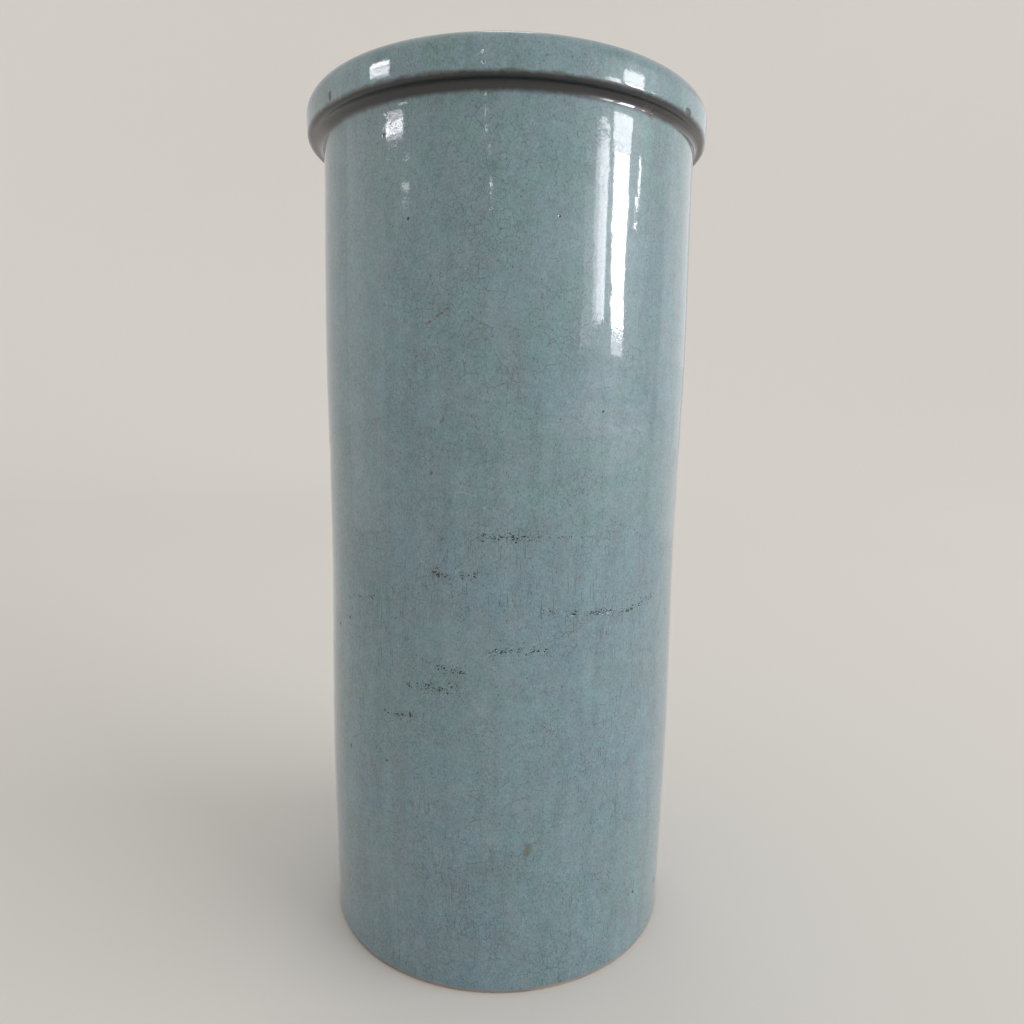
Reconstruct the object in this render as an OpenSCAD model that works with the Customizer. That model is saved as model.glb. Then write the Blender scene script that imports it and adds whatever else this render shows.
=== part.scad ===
// Brush pot: a tall, slightly tapered stoneware cylinder with a rolled rim, under a celadon glaze.
// Millimetres. The origin is the centre of the foot, on the surface that the pot stands on. +Z is up.

/* [Overall] */
// Height from the foot to the top of the rim
pot_h = 420; // [300:1:600]
// Glazed radius of the wall at the foot
base_r = 89.2; // [75:0.1:110]
// Glazed radius of the wall just under the rim
neck_r = 96.2; // [80:0.1:120]

/* [Clay] */
// Thickness of the thrown wall
wall_t = 8; // [6:0.5:12]
// Thickness of the base slab
slab_t = 11; // [8:0.5:16]
// Radius where the wall runs into the floor inside
floor_fillet_r = 10; // [4:1:16]
// Height of the joint between the two thrown wall sections
seam_z = 205; // [100:1:260]

/* [Foot] */
// Depth of the recess under the base
recess_h = 5; // [4:0.5:8]
// Width of the foot ring where it rests
foot_w = 13; // [8:0.5:20]
// Height of the bare clay line below the outer glaze
glaze_line_z = 1.2; // [0.6:0.1:1.8]
// Rounding of the wall's lower edge
foot_edge_r = 1.1; // [1.1:0.1:2]

/* [Rim] */
// Height of the rolled rim, from its underside to its top
rim_h = 19.5; // [15:0.5:20.5]
// How far the rim stands out from the wall
rim_overhang = 8.2; // [8:0.1:12]
// Rounding of the rim's lower corner
rim_corner_r = 3.5; // [2.5:0.1:3.5]
// Rounding of the rim's top outer edge
rim_shoulder_r = 8.5; // [4:0.1:9]
// Radius of the rim's bulging face
rim_face_r = 30; // [30:1:60]
// Radius of the hollow where the rim meets the wall
neck_fillet_r = 3.5; // [2:0.1:3.5]
// Rounding of the lip's inner edge
lip_edge_r = 4; // [2:0.5:6]

/* [Glaze] */
// Thickness of the glaze coats
glaze_t = 0.8; // [0.6:0.1:1]

/* [Hidden] */
$fn = 96;
arc_steps = 12;
neck_z = pot_h - rim_h;
roll_z = neck_z - neck_fillet_r;
slab_top_z = recess_h + slab_t;
lip_z = pot_h - lip_edge_r;
lip_r = neck_r - 2 * glaze_t - wall_t;
foot_inset = 0.2;
seam_bevel = wall_t / 2;
celadon = [0.50, 0.61, 0.58];
bare_clay = [0.72, 0.62, 0.54];

// Points along an arc in the section plane, [radius, height], from one angle to another
function arc(centre, r, from, to) =
    [for (i = [0:arc_steps])
        let (a = from + (to - from) * i / arc_steps)
        centre + r * [cos(a), sin(a)]];

function reversed(points) = [for (i = [len(points) - 1:-1:0]) points[i]];

// Radius of the outside wall at a height, at a depth below the glazed surface
function wall_r(z, depth = 0) = base_r + (neck_r - base_r) * z / roll_z - depth;

// Radius of the clay inside wall at a height
function inside_r(z) = wall_r(z, glaze_t + wall_t);

// The wall's rounded lower edge, from the glaze line up, at a depth below the glazed surface
foot_edge_z = glaze_line_z + foot_edge_r;
foot_edge_c = [wall_r(foot_edge_z) - foot_edge_r, foot_edge_z];
function foot_edge(depth) = arc(foot_edge_c, foot_edge_r - depth, -90, 0);

// The rim from the neck, over the lip, to the inside wall, at a depth below the glazed surface.
// The face is one flat arc that runs smoothly into the corner below and the shoulder above.
face_a = asin((rim_h - rim_corner_r - rim_shoulder_r)
              / (2 * rim_face_r - rim_corner_r - rim_shoulder_r));
face_c = [neck_r + rim_overhang - rim_face_r,
          neck_z + rim_corner_r + (rim_face_r - rim_corner_r) * sin(face_a)];
corner_c = face_c + (rim_face_r - rim_corner_r) * [cos(face_a), -sin(face_a)];
shoulder_c = face_c + (rim_face_r - rim_shoulder_r) * [cos(face_a), sin(face_a)];
neck_c = [neck_r + neck_fillet_r, roll_z];
lip_c = [lip_r + lip_edge_r, lip_z];
function rim(depth) = concat(
    arc(neck_c, neck_fillet_r + depth, 180, 90),
    arc(corner_c, rim_corner_r - depth, -90, -face_a),
    arc(face_c, rim_face_r - depth, -face_a, face_a),
    arc(shoulder_c, rim_shoulder_r - depth, face_a, 90),
    arc(lip_c, lip_edge_r - depth, 90, 180));

// The inside from the lip down to the middle of the floor, at a depth below the glazed surface
floor_c = [inside_r(slab_top_z + floor_fillet_r) - floor_fillet_r, slab_top_z + floor_fillet_r];
function inside(depth) = concat(
    [[lip_r + depth, lip_z], [lip_r + depth, roll_z]],
    arc(floor_c, floor_fillet_r - glaze_t + depth, 0, -90),
    [[0, slab_top_z + glaze_t - depth]]);

module turned(points) {
    rotate_extrude() polygon(points);
}

// Unglazed ring that the pot stands on
module foot_ring() {
    foot_out_r = foot_edge_c[0] - foot_inset;
    foot_in_r = foot_out_r - foot_w;
    color(bare_clay)
        turned(concat(
            [[foot_in_r, 0], [foot_out_r, 0], [foot_edge_c[0], glaze_line_z]],
            foot_edge(glaze_t),
            [[wall_r(recess_h, glaze_t), recess_h], [foot_in_r, recess_h]]));
}

// Clay disc that closes the bottom
module base_slab() {
    color(bare_clay)
        turned([[0, recess_h], [wall_r(recess_h, glaze_t), recess_h],
                [wall_r(slab_top_z, glaze_t), slab_top_z], [0, slab_top_z]]);
}

// Lower thrown section, thickened where it meets the floor and bevelled at the joint
module lower_wall() {
    color(bare_clay)
        turned(concat(
            [[wall_r(slab_top_z, glaze_t), slab_top_z],
             [wall_r(seam_z + seam_bevel, glaze_t), seam_z + seam_bevel],
             [inside_r(seam_z - seam_bevel), seam_z - seam_bevel]],
            arc(floor_c, floor_fillet_r, 0, -90)));
}

// Upper thrown section, from the bevelled joint to the rim
module upper_wall() {
    color(bare_clay)
        turned([[wall_r(seam_z + seam_bevel, glaze_t), seam_z + seam_bevel],
                [neck_r - glaze_t, roll_z], [lip_r + glaze_t, roll_z],
                [inside_r(seam_z - seam_bevel), seam_z - seam_bevel]]);
}

// Thick coil set on the upper section and thrown into the rolled rim
module rim_roll() {
    color(bare_clay)
        turned(concat(rim(glaze_t), [[lip_r + glaze_t, roll_z]]));
}

// Glaze over the outside wall, the rim and the lip
module outer_glaze_coat() {
    color(celadon)
        turned(concat(foot_edge(0), rim(0), reversed(rim(glaze_t)), reversed(foot_edge(glaze_t))));
}

// Glaze lining the inside wall and the floor
module inner_glaze_coat() {
    color(celadon)
        turned(concat(inside(0), reversed(inside(glaze_t))));
}

foot_ring();
base_slab();
lower_wall();
upper_wall();
rim_roll();
outer_glaze_coat();
inner_glaze_coat();
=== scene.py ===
"""Looks of a celadon-glazed brush pot, built around its CAD frame.

Units are metres, with MM for millimetres. Azimuths are in degrees round the pot's axis: 0 is
the front, which faces -Y and carries the rows of pits, and +90 is +X.
"""
import math
import random

import bmesh
import bpy
import numpy as np
from mathutils import Matrix, Vector


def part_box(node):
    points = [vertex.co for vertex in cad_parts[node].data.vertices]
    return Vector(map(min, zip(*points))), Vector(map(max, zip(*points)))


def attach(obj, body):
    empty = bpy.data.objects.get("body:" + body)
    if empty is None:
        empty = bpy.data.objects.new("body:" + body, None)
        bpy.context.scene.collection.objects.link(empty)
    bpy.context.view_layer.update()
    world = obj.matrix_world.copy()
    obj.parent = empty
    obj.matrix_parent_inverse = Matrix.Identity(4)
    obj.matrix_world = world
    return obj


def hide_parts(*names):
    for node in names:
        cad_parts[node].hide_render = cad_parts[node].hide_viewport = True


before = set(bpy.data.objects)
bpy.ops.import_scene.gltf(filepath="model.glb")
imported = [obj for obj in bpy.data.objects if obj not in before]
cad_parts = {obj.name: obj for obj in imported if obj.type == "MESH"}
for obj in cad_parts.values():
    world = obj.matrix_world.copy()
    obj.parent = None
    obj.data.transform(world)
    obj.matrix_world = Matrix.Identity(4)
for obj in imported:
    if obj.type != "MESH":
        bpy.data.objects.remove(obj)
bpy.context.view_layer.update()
MM = 0.001

# ---------------------------------------------------------------- sizes, from the frame
OUTER_LO, OUTER_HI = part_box("outer_glaze_coat")
INNER_LO, INNER_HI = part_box("inner_glaze_coat")
FOOT_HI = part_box("foot_ring")[1]
ROLL_LO, ROLL_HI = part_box("rim_roll")
WALL_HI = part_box("upper_wall")[1]

POT_H = OUTER_HI.z
GLAZE = OUTER_HI.x - ROLL_HI.x
ROLL_Z = ROLL_LO.z
NECK_R = WALL_HI.x + GLAZE
LIP_Z = INNER_HI.z
LIP_R = INNER_HI.x - GLAZE
GLAZE_LINE_Z = OUTER_LO.z
RECESS_Z = FOOT_HI.z
FLOOR_Z = INNER_LO.z
TAPER = (NECK_R - FOOT_HI.x - GLAZE) / (ROLL_Z - RECESS_Z)
BASE_R = NECK_R - TAPER * ROLL_Z
WALL_T = NECK_R - LIP_R - 2 * GLAZE

# Details of the section, as the potter's tools left them
BEAD_R = 1.1 * MM
FLOOR_FILLET_R = 10 * MM
FILLET_R = 3.5 * MM
CORNER_R = 2.8 * MM
SHOULDER_R = 8.6 * MM
FACE_R = 280 * MM
FACE_TOP_TILT = -2.0
LIP_EDGE_R = POT_H - LIP_Z
RIM_Z = ROLL_Z + FILLET_R
# The rim was set a little off the wall's axis, towards -X, so it is turned smaller to stay in the box
RIM_SHIFT = -1.1 * MM
RIM_R = OUTER_HI.x - 0.1 * MM + RIM_SHIFT

# How finely the turned shells are divided: round the pot, up a seen wall and up a hidden one
COLUMNS = 240
WALL_ROWS = 130
HIDDEN_ROWS = 12
# How finely a face under a pit is cut again
PIT_CUTS = 6
# The stretches of the UV map's height that a shell's seen side and its hidden side take
SEEN_V = (0.03, 1.0)
HIDDEN_V = (0.0, 0.025)


def wall_r(z, depth=0.0):
    """Radius of the outside wall at a height, at a depth below the glazed surface."""
    return BASE_R + TAPER * z - depth


# ---------------------------------------------------------------- sections
def arc(centre, radius, start, end):
    """An arc in the section plane as a function of u from 0 to 1; the angles are in degrees."""
    def at(u):
        angle = np.radians(start + (end - start) * u)
        return centre[0] + radius * np.cos(angle), centre[1] + radius * np.sin(angle)
    return at


def line(a, b):
    """A straight step between two (radius, height) places, in the same terms."""
    def at(u):
        return a[0] + (b[0] - a[0]) * u, a[1] + (b[1] - a[1]) * u
    return at


def rim_path(depth):
    """Neck, corner, face, shoulder, top and lip. Each step is (curve, rows, shift at its two ends)."""
    shoulder_c = (RIM_R - SHOULDER_R, POT_H - SHOULDER_R)
    top_tilt = math.radians(FACE_TOP_TILT)
    face_c = (
        shoulder_c[0] - (FACE_R - SHOULDER_R) * math.cos(top_tilt),
        shoulder_c[1] - (FACE_R - SHOULDER_R) * math.sin(top_tilt),
    )
    low_tilt = math.asin((RIM_Z + CORNER_R - face_c[1]) / (FACE_R - CORNER_R))
    corner_c = (face_c[0] + (FACE_R - CORNER_R) * math.cos(low_tilt), RIM_Z + CORNER_R)
    neck_c = (NECK_R + FILLET_R, ROLL_Z)
    lip_c = (LIP_R + LIP_EDGE_R, LIP_Z)
    low = math.degrees(low_tilt)
    return [
        (arc(neck_c, FILLET_R + depth, 180, 90), 7, (0.0, 1.0)),
        (line((neck_c[0], RIM_Z + depth), (corner_c[0], RIM_Z + depth)), 2, (1.0, 1.0)),
        (arc(corner_c, CORNER_R - depth, -90, low), 8, (1.0, 1.0)),
        (arc(face_c, FACE_R - depth, low, FACE_TOP_TILT), 6, (1.0, 1.0)),
        (arc(shoulder_c, SHOULDER_R - depth, FACE_TOP_TILT, 90), 12, (1.0, 1.0)),
        (line((shoulder_c[0], POT_H - depth), (lip_c[0], POT_H - depth)), 2, (1.0, 1.0)),
        (arc(lip_c, LIP_EDGE_R - depth, 90, 180), 8, (1.0, 0.0)),
    ]


def outside_path(depth, wall_rows):
    """The glazed outside from the glaze line over the bead, the wall and the rim to the lip."""
    bead_z = GLAZE_LINE_Z + BEAD_R
    bead_c = (wall_r(bead_z) - BEAD_R, bead_z)
    return [
        (arc(bead_c, BEAD_R - depth, -90, 0), 4, (0.0, 0.0)),
        (line((wall_r(bead_z, depth), bead_z), (NECK_R - depth, ROLL_Z)), wall_rows, (0.0, 0.0)),
        *rim_path(depth),
    ]


def inside_path(depth, wall_rows):
    """The glazed inside from the lip down the wall and over the floor to its middle."""
    floor_z = FLOOR_Z + GLAZE - depth
    fillet_z = FLOOR_Z + FLOOR_FILLET_R
    inside_r = wall_r(fillet_z, GLAZE + WALL_T)
    fillet_c = (inside_r - FLOOR_FILLET_R, fillet_z)
    return [
        (line((LIP_R + depth, LIP_Z), (LIP_R + depth, ROLL_Z)), 5, (0.0, 0.0)),
        (line((LIP_R + depth, ROLL_Z), (inside_r - GLAZE + depth, fillet_z)), wall_rows, (0.0, 0.0)),
        (arc(fillet_c, FLOOR_FILLET_R - GLAZE + depth, 0, -90), 8, (0.0, 0.0)),
        (line((fillet_c[0], floor_z), (0.0, floor_z)), 20, (0.0, 0.0)),
    ]


class Side:
    """One side of a turned shell: a path along the section, read at a place v between two limits."""

    FINE = 400

    def __init__(self, path, v_lo, v_hi, worked=None):
        self.v_lo, self.v_hi, self.worked = v_lo, v_hi, worked
        r, z, shift, marks = [], [], [], [0]
        for curve, rows, (shift_a, shift_b) in path:
            u = np.linspace(0, 1, self.FINE + 1)[1 if r else 0:]
            curve_r, curve_z = curve(u)
            start = len(r) - 1 if r else 0
            r += list(curve_r + 0 * u)
            z += list(curve_z + 0 * u)
            shift += list(shift_a + (shift_b - shift_a) * u)
            marks += [start + k * self.FINE // rows for k in range(1, rows + 1)]
        self.r, self.z, self.shift = map(np.array, (r, z, shift))
        steps = np.hypot(np.diff(self.r), np.diff(self.z))
        self.along = np.concatenate([[0], np.cumsum(steps)])
        self.length = self.along[-1]
        self.v = v_lo + (v_hi - v_lo) * self.along / self.length
        self.rows = self.v[marks]

    def read(self, v):
        """Radius, height and share of the rim's shift at a place v."""
        return tuple(np.interp(v, self.v, values) for values in (self.r, self.z, self.shift))


def backwards(path):
    """The same path, from its end to its start."""
    return [(lambda u, curve=curve: curve(1 - u), rows, (b, a)) for curve, rows, (a, b) in reversed(path)]


# ---------------------------------------------------------------- the thrown surface
# The share of the wall's height up to which its swellings go; above it the neck runs straight
SWELLING_END = 0.955


def wall_wander(azimuth, z):
    """How far the thrown wall stands off a perfect cone: swellings, an oval, faint rings and lumps."""
    a = np.radians(azimuth)
    swelling = 0.15 - 0.5 * np.cos(4 * np.pi * np.minimum(z / ROLL_Z, SWELLING_END))
    oval = 0.14 * np.sin(2 * a + 0.9) * z / POT_H
    rings = 0.028 * np.sin(2 * np.pi * z / (17 * MM) + a)
    rings = rings + 0.02 * np.sin(2 * np.pi * z / (29 * MM) - 2 * a)
    lumps = 0.03 * np.sin(9 * a + z / (11 * MM)) + 0.022 * np.sin(14 * a - z / (19 * MM))
    return (swelling + oval + rings + lumps) * MM


def rim_wander(azimuth):
    """The rim's face is drawn in here and there, and never stands out past its radius."""
    a = np.radians(azimuth)
    return -0.1 * MM * (1 + 0.5 * np.sin(3 * a + 1) + 0.5 * np.sin(5 * a))


def inside_wander(azimuth, z):
    """Faint, uneven finger rings of the throwing, and an oval."""
    a = np.radians(azimuth)
    rings = np.sin(2 * np.pi * z / (11 * MM) + a + 2 * np.sin(z / (34 * MM)))
    return (0.09 * rings + 0.1 * np.sin(2 * a + z / (40 * MM))) * MM


# Rows of pits in the glaze: azimuths and heights of the two ends in degrees and mm, number, mean
# half width in mm and how worn the glaze is between them. They follow the joint in the wall, and
# go on round the back.
PIT_ROWS = [
    (-6, 9, 212, 212, 30, 0.55, 0.8),
    (9, 36, 211, 214, 20, 0.38, 0.22),
    (-20, -15, 195.5, 194, 13, 0.55, 0.8),
    (-11, -5, 195, 196, 7, 0.5, 0.5),
    (11, 15, 179, 179, 5, 0.45, 0.4),
    (19, 21, 177.5, 177.5, 3, 0.75, 0.5),
    (25, 33, 177, 176.5, 14, 0.7, 0.8),
    (36, 46, 175, 177, 18, 0.65, 0.8),
    (44, 52, 177, 180, 8, 0.55, 0.6),
    (27, 49, 221, 206, 12, 0.36, 0.12),
    (-4, 13, 161.5, 161.5, 24, 0.5, 0.7),
    (-18, -10, 153, 151, 14, 0.5, 0.7),
    (-28, -24, 143.5, 143, 5, 0.7, 0.5),
    (-22, -15, 143, 142.5, 13, 0.6, 0.8),
    (-15, -12, 144, 145.5, 4, 0.5, 0.4),
    (-36, -34, 127, 127, 2, 0.8, 0.3),
    (-32, -26, 127.5, 128.5, 8, 0.75, 0.7),
    (-57, -38, 175, 181, 9, 0.6, 0.2),
    (78, 96, 190, 186, 14, 0.55, 0.6),
    (118, 140, 168, 171, 16, 0.55, 0.6),
    (152, 170, 150, 149, 10, 0.5, 0.5),
    (-92, -76, 140, 143, 12, 0.6, 0.6),
    (-138, -116, 186, 184, 15, 0.5, 0.6),
    (-168, -155, 205, 204, 8, 0.55, 0.5),
]
# Single pinholes and nicks: azimuth, height, half width and half height, in degrees and mm
PINHOLES = [
    (-26.5, 347.6, 0.6, 0.7),
    (27, 267, 0.45, 0.45),
    (13, 348, 0.5, 0.5),
    (-53, 102, 0.5, 1.2),
    (-53, 166, 0.8, 0.8),
    (-61, 160, 0.6, 0.8),
    (66, 22, 0.6, 1.6),
    (48, 31, 0.7, 0.7),
    (-110, 300, 0.6, 0.8),
    (104, 250, 0.6, 0.6),
    (150, 80, 0.7, 0.9),
    (-150, 110, 0.5, 1.0),
    (-50.3, 405.2, 1.3, 2.1),
    (53, 403.2, 3.0, 1.6),
    (-34.4, 384.3, 0.55, 0.6),
    (-35, 104, 0.5, 0.5),
    (40.3, 399, 0.35, 2.2),
]
PIT_DEPTH = 0.24 * MM
PIT_MARGIN = 0.5 * MM
DEEPEST_PIT = GLAZE - 0.06 * MM
# A pit is looked for within this many degrees and this height of its middle
PIT_REACH_A = 4
PIT_REACH_Z = 4 * MM
# How far the worn glaze round a row of pits spreads past its ends, in degrees, and its sides, in mm
WORN_SPREAD_A = 1.5
WORN_SPREAD_Z = 1.8


def pit_list():
    """Every pit as (azimuth, height, half width, half height), in degrees and metres."""
    dice = random.Random(7)
    pits = [(a, z * MM, w * MM, h * MM) for a, z, w, h in PINHOLES]
    for a0, a1, z0, z1, count, size, _ in PIT_ROWS:
        for _ in range(count):
            u = dice.random()
            width = size * dice.uniform(0.35, 1.1)
            height = size * dice.uniform(0.35, 0.75)
            z = z0 + (z1 - z0) * u + dice.gauss(0, 0.9)
            pits.append((a0 + (a1 - a0) * u, z * MM, width * MM, height * MM))
    return pits


PITS = pit_list()


def pit_mask(azimuth, z, r):
    """1 in the middle of a pit, 0 away from all of them."""
    mask = np.zeros_like(azimuth)
    for pit_azimuth, height, half_w, half_h in PITS:
        close_a = np.abs(azimuth - pit_azimuth) < PIT_REACH_A
        close_z = np.abs(z - height) < PIT_REACH_Z
        near = np.nonzero(close_a & close_z)[0]
        across = np.radians(azimuth[near] - pit_azimuth) * r[near] / half_w
        up = (z[near] - height) / half_h
        bowl = 1 / (1 + np.exp(7 * (np.hypot(across, up) - 1)))
        mask[near] = np.maximum(mask[near], bowl)
    return mask


def worn_mask(azimuth, z):
    """1 along the rows of pits, where the glaze is peppered with specks too fine to model."""
    mask = np.zeros_like(azimuth)
    for a0, a1, z0, z1, _, _, worn in PIT_ROWS:
        share = np.clip((azimuth - a0) / (a1 - a0), 0, 1)
        off_end = np.abs(azimuth - (a0 + (a1 - a0) * share)) / WORN_SPREAD_A
        off_line = (z / MM - (z0 + (z1 - z0) * share)) / WORN_SPREAD_Z
        mask = np.maximum(mask, worn * np.exp(-(off_end ** 2 + off_line ** 2)))
    return mask


def work_outside(azimuth, r, z, shift):
    """Gives the outside its wander, its pits and its uneven glaze line."""
    on_wall = np.clip((RIM_Z - z) / FILLET_R, 0, 1)
    on_rim = shift ** 4 * np.clip((POT_H - z) / SHOULDER_R, 0, 1)
    pits = pit_mask(azimuth, z, r) * (r > wall_r(z) - MM)
    on_wall_r = np.maximum(r + wall_wander(azimuth, z) - pits * PIT_DEPTH, wall_r(z, DEEPEST_PIT))
    r = r + (on_wall_r - r) * on_wall + (rim_wander(azimuth) - pits * PIT_DEPTH) * on_rim
    a = np.radians(azimuth)
    ripple = 0.12 * MM * (1 + np.sin(7 * a) * np.sin(3 * a + 0.7))
    z = z + ripple * np.clip(1 - (z - GLAZE_LINE_Z) / (6 * MM), 0, 1)
    return r, z, np.stack([pits, worn_mask(azimuth, z)], -1)


def work_inside(azimuth, r, z, shift):
    """Gives the inside wall its finger rings, which fade out at the lip and over the floor."""
    fade = np.clip((LIP_Z - z) / (15 * MM), 0, 1) * np.clip((z - FLOOR_Z) / (12 * MM), 0, 1)
    return r - inside_wander(azimuth, z) * fade, z, np.zeros((len(r), 2))


def place(side, azimuth, v):
    """Points of a side at these azimuths and places along its section, and the masks there."""
    r, z, shift = side.read(v)
    masks = np.zeros((len(r), 2))
    if side.worked:
        r, z, masks = side.worked(azimuth, r, z, shift)
    a = np.radians(azimuth)
    return np.stack([r * np.sin(a) + shift * RIM_SHIFT, -r * np.cos(a), z], -1), masks


def normals_of(side, azimuth, v):
    """Normals worked out from the surface itself, so that reflections run smoothly over it."""
    step = 0.08 * MM
    dv = step / side.length * (side.v_hi - side.v_lo)
    da = math.degrees(step / BASE_R)
    low = place(side, azimuth, np.clip(v - dv, side.v_lo, side.v_hi))[0]
    high = place(side, azimuth, np.clip(v + dv, side.v_lo, side.v_hi))[0]
    left = place(side, azimuth - da, v)[0]
    right = place(side, azimuth + da, v)[0]
    normal = np.cross(right - left, high - low)
    length = np.linalg.norm(normal, axis=1, keepdims=True)
    return np.where(length > 1e-15, normal / np.maximum(length, 1e-15), (0, 0, 1))


# ---------------------------------------------------------------- meshes
class Rows:
    """The rings of a turned shell, side after side. A ring of no radius is one point."""

    def __init__(self, sides, columns):
        self.columns = columns
        self.rings = [(n, v) for n, side in enumerate(sides) for v in side.rows]
        self.sizes = [1 if sides[n].read(v)[0] < 1e-7 else columns for n, v in self.rings]
        self.first = np.concatenate([[0], np.cumsum(self.sizes)])
        self.count = int(self.first[-1])

    def corner(self, ring, column):
        return int(self.first[ring]) + (column % self.columns if self.sizes[ring] > 1 else 0)

    def faces(self):
        """Each face's corners, and the ring and column that each corner's UV comes from."""
        for i in range(len(self.rings)):
            k = (i + 1) % len(self.rings)
            if self.sizes[i] == self.sizes[k] == 1:
                continue
            for j in range(self.columns):
                spots = [(i, j), (i, j + 1), (k, j + 1), (k, j)]
                if self.sizes[k] == 1:
                    spots = [(i, j), (i, j + 1), (k, j + 0.5)]
                if self.sizes[i] == 1:
                    spots = [(i, j + 0.5), (k, j + 1), (k, j)]
                yield [self.corner(ring, int(column)) for ring, column in spots], spots


def turned_shell(name, sides, columns, pitted=False):
    """A closed piece of revolution between its sides, with UVs that unroll it."""
    rows = Rows(sides, columns)
    faces = list(rows.faces())
    mesh = bpy.data.meshes.new(name)
    mesh.from_pydata([(0, 0, 0)] * rows.count, [], [corners for corners, _ in faces])
    bm = bmesh.new()
    bm.from_mesh(mesh)
    bm.verts.ensure_lookup_table()
    bm.faces.ensure_lookup_table()
    azimuth_layer = bm.verts.layers.float.new("azimuth")
    v_layer = bm.verts.layers.float.new("v")
    side_layer = bm.verts.layers.int.new("side")
    uv_layer = bm.loops.layers.uv.new("OFBake")
    for i, (side, v) in enumerate(rows.rings):
        for j in range(rows.sizes[i]):
            vert = bm.verts[int(rows.first[i]) + j]
            vert[azimuth_layer] = 360 * j / columns - 180
            vert[v_layer] = v
            vert[side_layer] = side
    for face, (_, spots) in zip(bm.faces, faces):
        heights = [rows.rings[ring][1] for ring, _ in spots]
        if max(heights) - min(heights) > 0.5:
            heights = [max(heights)] * len(heights)
        for loop, (_, column), v in zip(face.loops, spots, heights):
            loop[uv_layer].uv = (column / columns, v)
    if pitted:
        cut_at_pits(bm, sides[0], columns)
    bm.to_mesh(mesh)
    bm.free()
    set_points(mesh, sides)
    piece = bpy.data.objects.new(name, mesh)
    bpy.context.scene.collection.objects.link(piece)
    return piece


def cut_at_pits(bm, side, columns):
    """Cuts the faces under the pits into a fine grid. The pits' shapes come from set_points."""
    heights = side.read(side.rows)[1]
    step = 360 / columns
    marked = set()
    for azimuth, z, half_w, half_h in PITS:
        reach_a = math.degrees((half_w + PIT_MARGIN) / BASE_R)
        reach_z = half_h + PIT_MARGIN
        j0 = math.floor((azimuth - reach_a + 180) / step)
        j1 = math.floor((azimuth + reach_a + 180) / step)
        for i in range(len(heights) - 1):
            if heights[i] < z + reach_z and heights[i + 1] > z - reach_z:
                marked.update(i * columns + j for j in range(j0, j1 + 1))
    edges = {edge for k in marked for edge in bm.faces[k].edges}
    bmesh.ops.subdivide_edges(bm, edges=list(edges), cuts=PIT_CUTS, use_grid_fill=True)
    bmesh.ops.triangulate(bm, faces=[f for f in bm.faces if len(f.verts) > 4])


def read_layer(mesh, name, kind):
    values = np.empty(len(mesh.vertices), dtype=kind)
    mesh.attributes[name].data.foreach_get("value", values)
    return values


def set_points(mesh, sides):
    """Puts every vertex on its side's surface, with its normal and the masks for the material."""
    azimuth = read_layer(mesh, "azimuth", np.float32).astype(float)
    v = read_layer(mesh, "v", np.float32).astype(float)
    side_of = read_layer(mesh, "side", np.int32)
    points = np.zeros((len(v), 3))
    normals = np.zeros((len(v), 3))
    masks = np.zeros((len(v), 2))
    for n, side in enumerate(sides):
        chosen = side_of == n
        points[chosen], masks[chosen] = place(side, azimuth[chosen], v[chosen])
        normals[chosen] = normals_of(side, azimuth[chosen], v[chosen])
    mesh.vertices.foreach_set("co", points.ravel().astype(np.float32))
    for name in ("azimuth", "v", "side"):
        mesh.attributes.remove(mesh.attributes[name])
    for name, mask in zip(("pit", "worn"), masks.T):
        mesh.attributes.new(name, "FLOAT", "POINT").data.foreach_set("value", mask.astype(np.float32))
    mesh.polygons.foreach_set("use_smooth", np.ones(len(mesh.polygons), dtype=bool))
    mesh.update()
    mesh.normals_split_custom_set_from_vertices([tuple(n) for n in normals])


# ---------------------------------------------------------------- materials
# The radius in mm at which patterns and marks are unrolled round the pot
UNROLLED_R = 92.0


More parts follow.
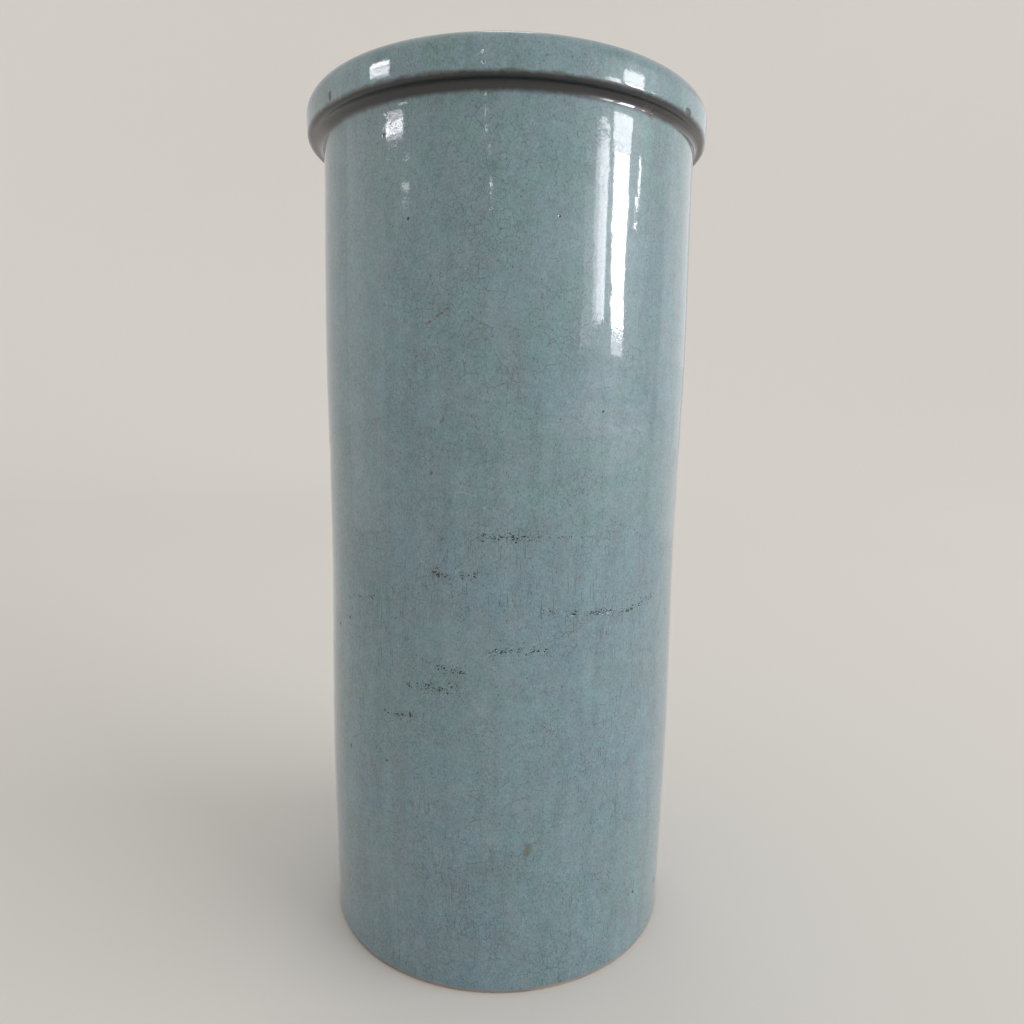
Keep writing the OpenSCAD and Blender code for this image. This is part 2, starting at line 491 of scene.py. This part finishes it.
class Nodes:
    """A material's nodes. Methods add some and return an output; sizes and places are in mm."""

    def __init__(self, name):
        self.material = bpy.data.materials.new(name)
        self.material.use_nodes = True
        self.tree = self.material.node_tree
        self.shader = self.tree.nodes["Principled BSDF"]
        self.point = self.scaled(self.add("ShaderNodeTexCoord", {}, "Object"), (1 / MM,) * 3)
        self.x, self.y, self.z = (self.add("ShaderNodeSeparateXYZ", {0: self.point}, k) for k in "XYZ")
        squares = (self.math("POWER", side, 2.0) for side in (self.x, self.y))
        self.radius = self.math("SQRT", self.math("ADD", *squares))
        self.azimuth = self.math("ARCTAN2", self.x, self.math("MULTIPLY", self.y, -1.0))
        around = self.math("MULTIPLY", self.azimuth, UNROLLED_R)
        up_and_in = self.math("SUBTRACT", self.z, self.math("SUBTRACT", self.radius, UNROLLED_R))
        self.unrolled = self.add("ShaderNodeCombineXYZ", {"X": around, "Y": up_and_in}, 0)
        self.flat = self.add("ShaderNodeCombineXYZ", {"X": around, "Y": self.z}, 0)

    def add(self, kind, inputs, output, **settings):
        """A node of a kind with its inputs and settings, as one of its outputs."""
        node = self.tree.nodes.new(kind)
        for name, value in settings.items():
            setattr(node, name, value)
        for key, value in inputs.items():
            self.feed(node.inputs[key], value)
        return node.outputs[output]

    def feed(self, socket, value):
        """Links an output to a socket, or sets the socket to a constant."""
        if isinstance(value, bpy.types.NodeSocket):
            self.tree.links.new(value, socket)
        else:
            socket.default_value = value

    def math(self, operation, *values):
        return self.add("ShaderNodeMath", dict(enumerate(values)), 0, operation=operation)

    def times(self, *values):
        product = values[0]
        for value in values[1:]:
            product = self.math("MULTIPLY", product, value)
        return product

    def vector_math(self, operation, a, b):
        return self.add("ShaderNodeVectorMath", {0: a, 1: b}, 0, operation=operation)

    def scaled(self, vector, factors):
        return self.vector_math("MULTIPLY", vector, factors)

    def noise(self, size, detail=2.0, seed=0.0):
        """Noise round 0.5 with blobs about this size; three sizes stretch it along X, Y and Z."""
        sizes = size if isinstance(size, tuple) else (size,) * 3
        place = self.scaled(self.point, tuple(1 / one for one in sizes))
        place = self.vector_math("ADD", place, (seed, -2 * seed, 3 * seed))
        return self.add("ShaderNodeTexNoise", {"Vector": place, "Scale": 1.0, "Detail": detail}, 0)

    def step(self, value, low, high):
        """0 up to low, 1 from high on and smooth between; it falls where low is the larger one."""
        ends = {"Value": value, "From Min": low, "From Max": high}
        return self.add("ShaderNodeMapRange", ends, 0, interpolation_type="SMOOTHSTEP")

    def band(self, value, low, high, edge):
        """1 between low and high, with soft edges this wide on either side."""
        rise = self.step(value, low - edge, low + edge)
        fall = self.step(value, high + edge, high - edge)
        return self.times(rise, fall)

    def mix(self, share, a, b):
        """Colour a where share is 0, and b where it is 1."""
        return self.add("ShaderNodeMix", {0: share, 6: a, 7: b}, 2, data_type="RGBA")

    def shade(self, colour, factor):
        """A colour times a number."""
        return self.add("ShaderNodeVectorMath", {0: colour, "Scale": factor}, 0, operation="SCALE")

    def cracks(self, cell, width, seed=0.0, bend=2.5):
        """1 on the lines of a crackle with cells about this size, 0 off them."""
        place = self.scaled(self.point, (1 / cell,) * 3)
        wave = self.add("ShaderNodeTexNoise", {"Vector": place, "Scale": 1.0, "Detail": 3.0}, 1)
        bent = self.vector_math("ADD", self.unrolled, self.scaled(wave, (bend, bend, 0)))
        place = self.vector_math("ADD", self.scaled(bent, (1 / cell,) * 3), (seed, seed, 0))
        edge = self.add("ShaderNodeTexVoronoi", {"Vector": place, "Scale": 1.0}, 0,
                        feature="DISTANCE_TO_EDGE", voronoi_dimensions="2D")
        seam = self.step(self.math("ABSOLUTE", self.azimuth), 3.13, 3.05)
        return self.times(self.step(edge, width / cell, 0.3 * width / cell), seam)

    def segment(self, a, b, width):
        """1 along a straight mark between two (azimuth in degrees, height) places, 0 off it."""
        a, b = (Vector((math.radians(azimuth) * UNROLLED_R, z, 0)) for azimuth, z in (a, b))
        from_a = self.vector_math("SUBTRACT", self.flat, a)
        along = self.add("ShaderNodeVectorMath", {0: from_a, 1: (b - a) / (b - a).length_squared},
                         "Value", operation="DOT_PRODUCT")
        along = self.add("ShaderNodeClamp", {"Value": along}, 0)
        nearest = self.shade(tuple(b - a), along)
        gap = self.vector_math("SUBTRACT", from_a, nearest)
        gap = self.add("ShaderNodeVectorMath", {0: gap}, "Value", operation="LENGTH")
        return self.step(gap, width, 0.3 * width)

    def bump(self, height, depth, normal=None):
        """A normal bent by a height from 0 to 1 that stands for this depth."""
        inputs = {"Height": height, "Distance": depth * MM, "Strength": 1.0}
        if normal:
            inputs["Normal"] = normal
        return self.add("ShaderNodeBump", inputs, 0)


GLAZE_BLUE = (0.163, 0.265, 0.318, 1)
GLAZE_GREEN = (0.16, 0.27, 0.272, 1)
GLAZE_GREY = (0.179, 0.261, 0.296, 1)
CRACK_DARK = (0.026, 0.04, 0.045, 1)
PIT_DARK = (0.008, 0.011, 0.013, 1)
STAIN_OCHRE = (0.12, 0.14, 0.112, 1)
SCRATCH_BROWN = (0.12, 0.072, 0.058, 1)
THIN_GLAZE = (0.06, 0.045, 0.045, 1)
# Painted shade: the near-black of the band under the rim stands for the shadow there
RIM_UNDERSIDE_PAINTED_SHADE = (0.008, 0.009, 0.009, 1)
PALE_RED = (0.085, 0.045, 0.052, 1)
BEAD_PALE = (0.27, 0.245, 0.25, 1)
# Colour of the pale scratches and of a painted glint
PALE_SCRATCH_AND_GLINT = (0.3, 0.36, 0.38, 1)
CLAY_BUFF = (0.37, 0.315, 0.28, 1)
CLAY_GREY = (0.27, 0.232, 0.208, 1)
CLAY_SPECK = (0.08, 0.05, 0.035, 1)

COAT_IOR = 1.5
GLAZE_IOR = 1.45

# How deep the glaze's waves, its orange peel, and its grain and crackle are, in mm
WAVES_DEPTH = 0.035
PEEL_DEPTH = 0.012
GRAIN_DEPTH = 0.008

# Heights in mm between which the look of the outside changes
RIM_LINES_Z = (398, 404)
# The band of painted shade under the rim runs from the neck up to the rim's lower corner
NECK_PAINTED_SHADE_Z = (395.4, 398.2)
CORNER_PAINTED_SHADE_Z = (401.2, 403.2)
CORNER_THIN_Z = (401.9, 403.1)
CORNER_SOFT = 0.8


def glossy(nodes, coat_roughness):
    """The clear, glassy face of a glaze."""
    nodes.shader.inputs["Coat Weight"].default_value = 1.0
    nodes.shader.inputs["Coat Roughness"].default_value = coat_roughness
    nodes.shader.inputs["Coat IOR"].default_value = COAT_IOR
    nodes.shader.inputs["IOR"].default_value = GLAZE_IOR


def glaze_relief(nodes, grain, lines):
    """Waves, orange peel, grain and open cracks, too fine to model, under and on the glassy face."""
    waves = nodes.bump(nodes.noise((7, 7, 9), 1, 45), WAVES_DEPTH)
    peel = nodes.bump(nodes.noise(3.2, 2, 43), PEEL_DEPTH, waves)
    surface = nodes.math("SUBTRACT", grain, nodes.times(lines, 0.5))
    cracked = nodes.bump(surface, GRAIN_DEPTH, peel)
    nodes.feed(nodes.shader.inputs["Normal"], cracked)
    nodes.feed(nodes.shader.inputs["Coat Normal"], cracked)


def glaze_body(nodes):
    """The glaze's colour: clouds, runs down the wall, grain and fine dark specks, with painted shade that
    darkens it towards the foot.
    """
    clouds = nodes.step(nodes.noise(70, 2), 0.36, 0.64)
    height = nodes.step(nodes.z, 150, 400)
    green = nodes.math("MULTIPLY_ADD", clouds, 0.5, nodes.times(height, 0.5))
    green = nodes.math("MULTIPLY_ADD", nodes.noise(8, 3, 12), 0.9, nodes.math("SUBTRACT", green, 0.45))
    green = nodes.add("ShaderNodeClamp", {"Value": green}, 0)
    colour = nodes.mix(green, GLAZE_BLUE, GLAZE_GREEN)
    grey = nodes.step(nodes.noise((9, 9, 14), 3, 14), 0.36, 0.64)
    colour = nodes.mix(grey, colour, GLAZE_GREY)
    grain = nodes.noise((0.8, 0.8, 1.1), 3, 2)
    light = 0.03
    for noise, share in (
        (nodes.noise(16, 3, 5), 0.28),
        (nodes.noise(4.5, 2, 8), 0.38),
        (nodes.noise((7, 7, 80), 2, 9), 0.3),
        (grain, 0.98),
    ):
        light = nodes.math("MULTIPLY_ADD", noise, share, light)
    # Painted shade: darker towards the foot, standing for the shadow near the floor
    foot = nodes.step(nodes.z, 130, 10)
    light = nodes.math("SUBTRACT", light, nodes.times(foot, 0.06))
    colour = nodes.shade(colour, light)
    specks = nodes.step(nodes.noise((0.7, 0.7, 1.1), 1, 4), 0.64, 0.76)
    return nodes.mix(nodes.times(specks, 0.6), colour, CRACK_DARK), grain


def crackle(nodes):
    """Stained crackle lines, strong in places, broken up and gone in others."""
    wide = nodes.cracks(7.5, 0.2)
    fine = nodes.cracks(3.4, 0.15, 7.0, 1.5)
    patches = nodes.step(nodes.noise(30, 3, 11), 0.42, 0.6)
    patches_fine = nodes.step(nodes.noise(22, 3, 17), 0.44, 0.64)
    gaps = nodes.step(nodes.noise(2.6, 2, 13), 0.36, 0.56)
    wide = nodes.times(wide, nodes.math("MULTIPLY_ADD", patches, 0.6, 0.05))
    fine = nodes.times(fine, patches_fine, 0.9)
    return nodes.times(nodes.math("MAXIMUM", wide, fine), gaps)


def upright_lines(nodes):
    """Fine lines down the lower wall, where the glaze dried in streaks."""
    lines = nodes.step(nodes.noise((0.55, 0.55, 9), 1, 21), 0.6, 0.72)
    lower = nodes.step(nodes.z, 300, 180)
    patches = nodes.step(nodes.noise(40, 2, 23), 0.42, 0.6)
    return nodes.times(lines, lower, patches)


# Brown marks on the front: two (azimuth, height) ends in degrees and mm, width and strength
MARKS = [
    ((-21.0, 303.0), (-14.0, 310.5), 0.9, 0.8),
    ((-16.5, 262.0), (-15.3, 268.5), 1.0, 0.6),
    ((-20.0, 238.5), (-19.4, 241.0), 1.0, 0.85),
    ((0.5, 301.0), (3.0, 286.0), 5.0, 0.22),
    ((1.5, 282.0), (4.5, 271.0), 3.0, 0.3),
    ((-6.5, 303.0), (-5.6, 297.0), 2.4, 0.3),
]
# Thin pale scratches, and as the last, short one a painted glint, in the same terms
PALE_MARKS_AND_GLINT = [
    ((-15.5, 231.0), (-11.0, 231.4), 0.5, 0.5),
    ((-11.0, 231.4), (-6.9, 229.6), 0.5, 0.5),
    ((-1.6, 238.4), (2.0, 237.6), 0.5, 0.4),
    ((2.0, 237.6), (6.9, 232.0), 0.45, 0.4),
    # Painted glint: a small pale dot that stands for a highlight
    ((-5.2, 224.7), (-4.7, 225.1), 0.7, 0.9),
]
OCHRE_SPOT = ((8.0, 68.2), (8.3, 71.6), 2.4, 0.8)
RED_STAIN = ((37.6, 398.6), (40.2, 396.6), 2.0, 0.6)


def add_lines(nodes, colour):
    """The colour with the streaks and the crackle on it, and the crackle, which is faint on the rim."""
    rim_low, rim_high = RIM_LINES_Z
    on_wall = nodes.step(nodes.z, rim_high, rim_low)
    lines = nodes.times(crackle(nodes), nodes.math("MULTIPLY_ADD", on_wall, 0.6, 0.4))
    colour = nodes.mix(nodes.times(upright_lines(nodes), 0.45), colour, CRACK_DARK)
    return nodes.mix(nodes.times(lines, 0.66), colour, CRACK_DARK), lines


def add_pepper(nodes, colour):
    """Fine dark specks where the glaze is worn, along the rows of pits."""
    worn = nodes.add("ShaderNodeAttribute", {}, "Fac", attribute_name="worn")
    pepper = nodes.noise((0.55, 0.55, 0.5), 1, 47)
    pepper = nodes.step(nodes.math("MULTIPLY_ADD", worn, 0.16, pepper), 0.68, 0.74)
    return nodes.mix(nodes.times(pepper, nodes.step(worn, 0.02, 0.3), 0.85), colour, PIT_DARK)


def add_marks(nodes, colour):
    """The brown marks, the pale scratches and a painted glint, with ragged edges."""
    ragged = nodes.step(nodes.noise(1.6, 3, 31), 0.38, 0.6)
    for marks, stain in ((MARKS, SCRATCH_BROWN), (PALE_MARKS_AND_GLINT, PALE_SCRATCH_AND_GLINT)):
        for a, b, width, strength in marks:
            mark = nodes.times(nodes.segment(a, b, width), ragged, strength)
            colour = nodes.mix(mark, colour, stain)
    return colour


def add_rim_painted_shade_and_thin_glaze(nodes, colour, uneven):
    """Painted shade: the dark band under the rim, which stands for the shadow there; and the thin glaze
    in places along the rim's lower corner.
    """
    low_z = nodes.math("SUBTRACT", nodes.z, 0.6)
    ragged_z = nodes.math("MULTIPLY_ADD", nodes.noise(3.5, 3, 39), 1.2, low_z)
    corner_low, corner_high = CORNER_PAINTED_SHADE_Z
    above_neck = nodes.step(ragged_z, *NECK_PAINTED_SHADE_Z)
    below_corner = nodes.step(ragged_z, corner_high, corner_low)
    # Painted shade under the rim, between the neck and the rim's lower corner
    colour = nodes.mix(nodes.times(above_neck, below_corner), colour, RIM_UNDERSIDE_PAINTED_SHADE)
    corner = nodes.band(ragged_z, *CORNER_THIN_Z, CORNER_SOFT)
    edge = nodes.times(corner, nodes.step(uneven, 0.4, 0.6))
    return nodes.mix(nodes.times(edge, 0.6), colour, THIN_GLAZE)


def add_spots(nodes, colour):
    """The ochre spot near the foot, the red one under the rim, and the dark of the pits."""
    for (a, b, width, strength), stain in ((OCHRE_SPOT, STAIN_OCHRE), (RED_STAIN, PALE_RED)):
        mark = nodes.times(nodes.segment(a, b, width), strength)
        colour = nodes.mix(mark, colour, stain)
    pits = nodes.add("ShaderNodeAttribute", {}, "Fac", attribute_name="pit")
    return nodes.mix(nodes.step(pits, 0.25, 0.7), colour, PIT_DARK)


def add_bead(nodes, colour, uneven):
    """The pale bead where the glaze ends, at an uneven height."""
    line_z = nodes.math("MULTIPLY_ADD", uneven, 1.6, 1.2)
    bead = nodes.step(nodes.math("SUBTRACT", nodes.z, line_z), 0.5, -0.3)
    return nodes.mix(bead, colour, BEAD_PALE)


def outer_glaze_material():
    nodes = Nodes("celadon outside")
    colour, grain = glaze_body(nodes)
    colour, lines = add_lines(nodes, colour)
    colour = add_pepper(nodes, colour)
    colour = add_marks(nodes, colour)
    uneven = nodes.noise(7, 3, 37)
    colour = add_rim_painted_shade_and_thin_glaze(nodes, colour, uneven)
    colour = add_spots(nodes, colour)
    colour = add_bead(nodes, colour, uneven)
    nodes.feed(nodes.shader.inputs["Base Color"], colour)
    rough = nodes.math("MULTIPLY_ADD", nodes.noise(12, 2, 41), 0.2, 0.32)
    nodes.feed(nodes.shader.inputs["Roughness"], rough)
    glaze_relief(nodes, grain, lines)
    glossy(nodes, coat_roughness=0.02)
    return nodes.material


def inner_glaze_material():
    nodes = Nodes("celadon inside")
    colour, grain = glaze_body(nodes)
    lines = crackle(nodes)
    colour = nodes.mix(nodes.times(lines, 0.5), colour, CRACK_DARK)
    dust = nodes.times(nodes.step(nodes.z, 60, 16), nodes.step(nodes.noise(14, 3, 51), 0.35, 0.65))
    colour = nodes.mix(nodes.times(dust, 0.6), colour, STAIN_OCHRE)
    nodes.feed(nodes.shader.inputs["Base Color"], colour)
    nodes.shader.inputs["Roughness"].default_value = 0.42
    glaze_relief(nodes, grain, lines)
    glossy(nodes, coat_roughness=0.04)
    return nodes.material


def clay_material():
    nodes = Nodes("unglazed clay")
    clouds = nodes.step(nodes.noise(22, 3), 0.35, 0.65)
    colour = nodes.mix(clouds, CLAY_BUFF, CLAY_GREY)
    grog = nodes.step(nodes.noise(0.9, 2, 3), 0.66, 0.74)
    colour = nodes.mix(nodes.times(grog, 0.8), colour, CLAY_SPECK)
    grain = nodes.noise(0.8, 4, 6)
    colour = nodes.shade(colour, nodes.math("MULTIPLY_ADD", grain, 0.4, 0.8))
    outwards = nodes.add("ShaderNodeCombineXYZ", {"X": nodes.radius}, 0)
    turning = nodes.add("ShaderNodeTexWave", {"Vector": outwards, "Scale": 0.22, "Distortion": 0.6}, 1)
    nodes.feed(nodes.shader.inputs["Base Color"], colour)
    nodes.shader.inputs["Roughness"].default_value = 0.86
    rings = nodes.bump(turning, 0.06)
    nodes.feed(nodes.shader.inputs["Normal"], nodes.bump(grain, 0.09, rings))
    return nodes.material


OUTER_GLAZE = outer_glaze_material()
INNER_GLAZE = inner_glaze_material()
CLAY = clay_material()


# ---------------------------------------------------------------- pieces
def add_piece(name, sides, columns, material, node, pitted=False):
    """A turned piece that stands for a CAD node."""
    piece = turned_shell(name, sides, columns, pitted)
    piece.data.materials.append(material)
    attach(piece, "root")
    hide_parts(node)
    return piece


def add_glaze_outer():
    front = Side(outside_path(0.0, WALL_ROWS), *SEEN_V, work_outside)
    back = Side(backwards(outside_path(GLAZE, HIDDEN_ROWS)), *HIDDEN_V)
    add_piece("glaze_outer", [front, back], COLUMNS, OUTER_GLAZE, "outer_glaze_coat", True)


def add_glaze_inner():
    front = Side(inside_path(0.0, WALL_ROWS), *SEEN_V, work_inside)
    back = Side(backwards(inside_path(GLAZE, HIDDEN_ROWS)), *HIDDEN_V)
    add_piece("glaze_inner", [front, back], COLUMNS, INNER_GLAZE, "inner_glaze_coat")


def add_rim_clay():
    """The rim's clay, a glaze's thickness inside the rim's outline."""
    neck_line = line((LIP_R + GLAZE, LIP_Z), (LIP_R + GLAZE, ROLL_Z))
    side = Side([*rim_path(GLAZE), (neck_line, 6, (0.0, 0.0))], 0.0, 1.0)
    add_piece("rim_clay", [side], COLUMNS // 2, CLAY, "rim_roll")


add_glaze_outer()
add_glaze_inner()
add_rim_clay()
for name in ("foot_ring", "base_slab", "lower_wall", "upper_wall"):
    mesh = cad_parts[name].data
    mesh.materials.clear()
    mesh.materials.append(CLAY)


# ---------------------------------------------------------------- camera, floor and light
CAMERA_LENS = 26.72
CAMERA_SHIFT = (-0.0023, -0.0378)
CAMERA_BACK = 0.4173
CAMERA_HEIGHT = 0.2656
CAMERA_PITCH, CAMERA_ROLL, CAMERA_YAW = (math.radians(a) for a in (4.50, 0.93, 0.76))


def add_camera():
    """A wide lens close in front of the pot, level with its upper half."""
    data = bpy.data.cameras.new("camera")
    data.sensor_width = 36
    data.lens = CAMERA_LENS
    data.shift_x, data.shift_y = CAMERA_SHIFT
    data.clip_start = 0.01
    camera = bpy.data.objects.new("camera", data)
    bpy.context.scene.collection.objects.link(camera)
    turn = (
        Matrix.Rotation(-CAMERA_YAW, 3, "Z")
        @ Matrix.Rotation(math.pi / 2 - CAMERA_PITCH, 3, "X")
        @ Matrix.Rotation(CAMERA_ROLL, 3, "Z")
    )
    camera.matrix_world = Matrix.Translation((0, -CAMERA_BACK, CAMERA_HEIGHT)) @ turn.to_4x4()
    bpy.context.scene.camera = camera


# The floor, and the backdrop that curves up from it all round the pot
FLOOR_R = 6.0
COVE_START_R = 2.2
COVE_R = 3.0
BACKDROP_TOP = 4.2
STAGE_STEPS = 96
SET_COLOUR = (0.8, 0.775, 0.74, 1)


def add_stage(name, profile, material):
    """A part of the set: a disc from one (radius, height), or the surface turned from several."""
    angles = [2 * math.pi * k / STAGE_STEPS for k in range(STAGE_STEPS)]
    corners = [(r * math.sin(a), r * math.cos(a), z) for r, z in profile for a in angles]
    faces = []
    for k in range(len(profile) - 1):
        for j in range(STAGE_STEPS):
            i = (j + 1) % STAGE_STEPS
            low, high = k * STAGE_STEPS, (k + 1) * STAGE_STEPS
            faces.append((low + j, low + i, high + i, high + j))
    if not faces:
        faces.append(tuple(range(STAGE_STEPS)))
    mesh = bpy.data.meshes.new(name)
    mesh.from_pydata(corners, [], faces)
    mesh.polygons.foreach_set("use_smooth", [True] * len(faces))
    mesh.materials.append(material)
    stage = bpy.data.objects.new(name, mesh)
    bpy.context.scene.collection.objects.link(stage)
    return stage


def add_set():
    """A pale floor, and a backdrop that only the camera sees, so that it holds back no light."""
    material = bpy.data.materials.new("set")
    material.use_nodes = True
    shader = material.node_tree.nodes["Principled BSDF"]
    shader.inputs["Base Color"].default_value = SET_COLOUR
    shader.inputs["Roughness"].default_value = 0.9
    shader.inputs["Specular IOR Level"].default_value = 0.2
    add_stage("floor", [(FLOOR_R, 0.0)], material)
    turn = [math.radians(a) for a in range(0, 91, 5)]
    cove = [(COVE_START_R + COVE_R * math.sin(a), COVE_R * (1 - math.cos(a))) for a in turn]
    backdrop = add_stage("backdrop", cove + [(COVE_START_R + COVE_R, BACKDROP_TOP)], material)
    backdrop.visible_diffuse = False
    backdrop.visible_glossy = False
    backdrop.visible_shadow = False


# Softboxes round the pot: azimuths and heights of their edges, in degrees and m, and their brightness
LIGHT_R = 1.2
DAYLIGHT = (0.95, 0.94, 1.0)
POWER_PER_AREA = 4
SOFTBOXES = [
    ("window_sill", 62.3, 70.0, 0.325, 0.385, 5.0),
    ("window_low", 62.0, 70.6, 0.385, 0.48, 20.0),
    ("window_middle", 61.3, 71.0, 0.48, 0.61, 20.0),
    ("window_high", 60.4, 71.4, 0.61, 0.735, 20.0),
    ("window_top", 59.4, 72.5, 0.74, 0.80, 9.0),
    ("curtain_bright", 54.8, 57.0, 0.40, 0.746, 9.5),
    ("curtain", 51.6, 54.8, 0.39, 0.746, 8.0),
    ("curtain_edge", 49.0, 51.6, 0.39, 0.74, 4.0),
    ("curtain_glow", 43.0, 49.0, 0.36, 0.70, 0.9),
    ("curtain_line", 42.2, 43.0, 0.33, 0.43, 2.5),
    ("slit_low", 76.4, 78.7, 0.622, 0.668, 15.0),
    ("slit_high", 78.8, 80.2, 0.668, 0.735, 13.0),
    ("left_bar_tail", -71.5, -61.6, 0.748, 0.757, 7.0),
    ("left_bar_low", -73.8, -61.6, 0.765, 0.775, 19.0),
    ("left_bar_middle", -73.8, -61.6, 0.784, 0.793, 17.0),
    ("left_bar_high", -73.8, -61.6, 0.802, 0.816, 19.0),
    ("left_faint", -62.5, -57.5, 0.665, 0.695, 4.0),
    ("spot_high", -12.9, -11.7, 0.80, 0.806, 16.0),
    ("spot_low", -12.9, -11.7, 0.750, 0.756, 18.0),
    ("centre_streak", -11.1, -9.6, 0.652, 0.672, 9.0),
    ("centre_streak_high", -11.0, -9.8, 0.68, 0.70, 3.0),
    ("left_panel", -109.0, -75.0, 0.0, 1.3, 0.2),
    ("right_panel", 103.0, 150.0, 0.36, 0.95, 0.3),
    ("right_panel_middle", 103.0, 150.0, 0.18, 0.36, 0.19),
    ("right_panel_low", 103.0, 150.0, 0.0, 0.18, 0.09),
    ("back_high", 171.0, 189.0, 2.2, 3.2, 1.5),
    ("back_window", -172.0, -166.5, 0.22, 0.50, 2.6),
    ("back_window_side", -165.5, -163.0, 0.22, 0.50, 1.6),
]
# Large soft lights that shade the pot and show in nothing, in the same terms, with their distance
FILLS = [
    ("key", 42.0, 96.0, 0.1, 3.6, 3.0, 5.5),
    ("back_fill", -195.0, -150.0, 0.5, 4.0, 0.8, 5.5),
]
WORLD_COLOUR = (1.0, 0.975, 0.945, 1)
WORLD_STRENGTH = 0.6


def add_softbox(name, azimuth_a, azimuth_b, z_a, z_b, brightness, distance=LIGHT_R):
    """A rectangle of light that faces the pot's axis, and that the camera doesn't see."""
    data = bpy.data.lights.new(name, "AREA")
    data.shape = "RECTANGLE"
    data.size = math.radians(azimuth_b - azimuth_a) * distance
    data.size_y = z_b - z_a
    data.energy = POWER_PER_AREA * data.size * data.size_y * brightness
    light = bpy.data.objects.new(name, data)
    bpy.context.scene.collection.objects.link(light)
    azimuth = math.radians(azimuth_a + azimuth_b) / 2
    light.location = (distance * math.sin(azimuth), -distance * math.cos(azimuth), (z_a + z_b) / 2)
    light.rotation_euler = (math.pi / 2, 0, azimuth)
    light.visible_camera = False
    return light


def add_lights():
    """The softboxes, which show only in the glaze, the fills, which only shade, and the world."""
    for row in SOFTBOXES:
        softbox = add_softbox(*row)
        softbox.data.color = DAYLIGHT
        softbox.visible_diffuse = False
    for row in FILLS:
        add_softbox(*row).visible_glossy = False
    world = bpy.data.worlds.new("studio")
    bpy.context.scene.world = world
    world.use_nodes = True
    background = world.node_tree.nodes["Background"]
    background.inputs["Color"].default_value = WORLD_COLOUR
    background.inputs["Strength"].default_value = WORLD_STRENGTH


add_camera()
add_set()
add_lights()
bpy.context.scene.view_settings.view_transform = "Standard"
